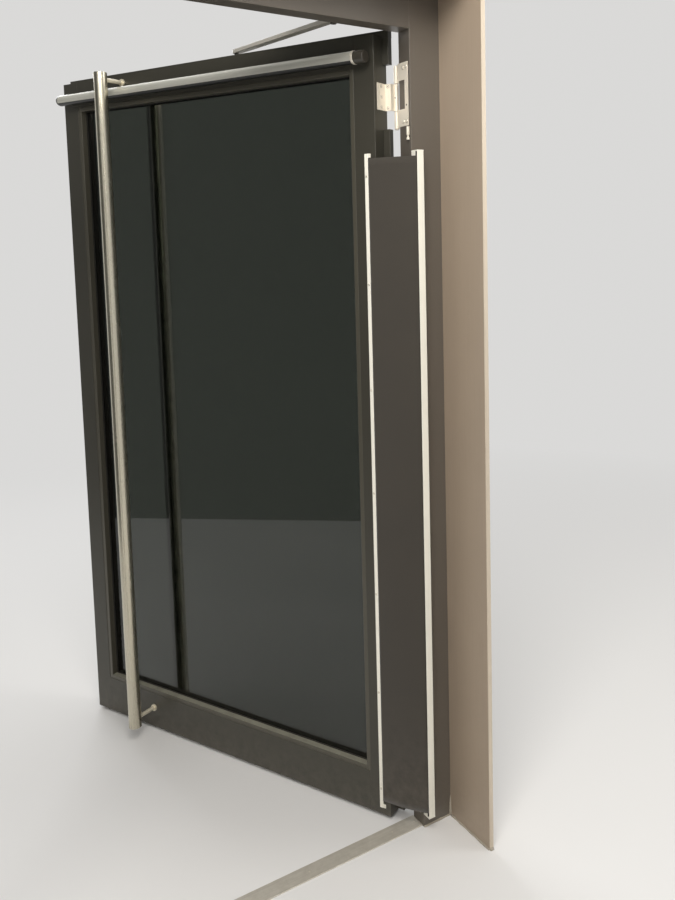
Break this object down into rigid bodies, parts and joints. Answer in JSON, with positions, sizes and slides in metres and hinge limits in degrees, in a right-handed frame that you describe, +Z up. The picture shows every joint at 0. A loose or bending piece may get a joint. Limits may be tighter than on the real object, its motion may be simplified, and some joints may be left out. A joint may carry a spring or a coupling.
{
  "type": "automatic swing door",
  "caption": "Metal-framed automatic glass swing door standing open in its lined frame, with full-height pull handles, sensor rail and finger guard",
  "frame": {"origin": "middle of the doorway between the jambs and of the frame depth, on the finished floor under the threshold", "axes": "X along the wall towards the hinge side, Y through the doorway towards the outside, Z up"},
  "size_m": [1.562, 1.5216, 2.453],
  "materials": {
    "frame_paint": "satin",
    "leaf_paint": "satin",
    "threshold_steel": "brushed",
    "seal_rubber": "matte",
    "lining_metal": "satin",
    "trim_metal": "satin",
    "plate_steel": "brushed",
    "guard_aluminium": "satin",
    "guard_cloth": "matte",
    "operator_paint": "satin",
    "operator_plastic": "matte",
    "hinge_metal": "satin",
    "pin_steel": "brushed",
    "glass": "gloss",
    "bead_paint": "satin",
    "handle_steel": "brushed",
    "sensor_aluminium": "satin",
    "sensor_lens_plastic": "gloss",
    "sensor_cap_plastic": "matte",
    "brush_fibre": "matte",
    "rail_aluminium": "satin",
    "rail_plastic": "matte",
    "arm_paint": "satin"
  },
  "bodies": {
    "frame": {"hinge_side_jamb": "frame_paint", "lock_side_jamb": "frame_paint", "header": "frame_paint", "rebate_seals": "seal_rubber", "threshold": "threshold_steel", "hinge_side_reveal_lining": "lining_metal", "lock_side_reveal_lining": "lining_metal", "head_reveal_lining": "lining_metal", "hinge_side_reveal_trim": "trim_metal", "lock_side_reveal_trim": "trim_metal", "head_reveal_trim": "trim_metal", "strike_plate": "plate_steel", "guard_roller_housing": "guard_aluminium", "guard_housing_caps": "guard_aluminium", "guard_fabric": "guard_cloth", "operator_cover": "operator_paint", "operator_end_caps": "operator_plastic", "hinge_pins": "pin_steel", "hinge_adjusting_rods": "pin_steel", "hinge_frame_plates": "hinge_metal"},
    "door_leaf": {"hinge_stile": "leaf_paint", "lock_stile": "leaf_paint", "top_rail": "leaf_paint", "bottom_rail": "leaf_paint", "glass_panes": "glass", "glass_spacer": "seal_rubber", "glazing_gaskets": "seal_rubber", "glazing_beads": "bead_paint", "lock_faceplate": "plate_steel", "inside_pull_handle": "handle_steel", "inside_handle_standoffs": "handle_steel", "outside_pull_handle": "handle_steel", "outside_handle_standoffs": "handle_steel", "sensor_rail_housing": "sensor_aluminium", "sensor_rail_lens": "sensor_lens_plastic", "sensor_rail_end_caps": "sensor_cap_plastic", "guard_leaf_profile": "guard_aluminium", "hinge_leaf_plates": "hinge_metal", "bottom_brush_seal": "brush_fibre", "slide_rail": "rail_aluminium", "slide_rail_end_caps": "rail_plastic", "slide_rail_brackets": "plate_steel"},
    "operator_arm": {"operator_spindle": "pin_steel", "operator_arm": "arm_paint", "arm_roller": "rail_plastic"}
  },
  "joints": [
    {"name": "door_leaf_hinge", "type": "hinge", "parent": "frame", "child": "door_leaf", "pos_m": [0.685, 0.055, 1.162], "axis": [0, 0, -1], "range_deg": [-65, 25], "deforming": ["guard_fabric"]},
    {"name": "operator_spindle_turn", "type": "hinge", "parent": "frame", "child": "operator_arm", "pos_m": [0.514, 0.1, 2.353], "axis": [0, 0, -1], "range_deg": [-86, 34]}
  ],
  "couplings": [
    {"joint": "operator_spindle_turn", "follows": "door_leaf_hinge", "ratio": 1.31}
  ]
}
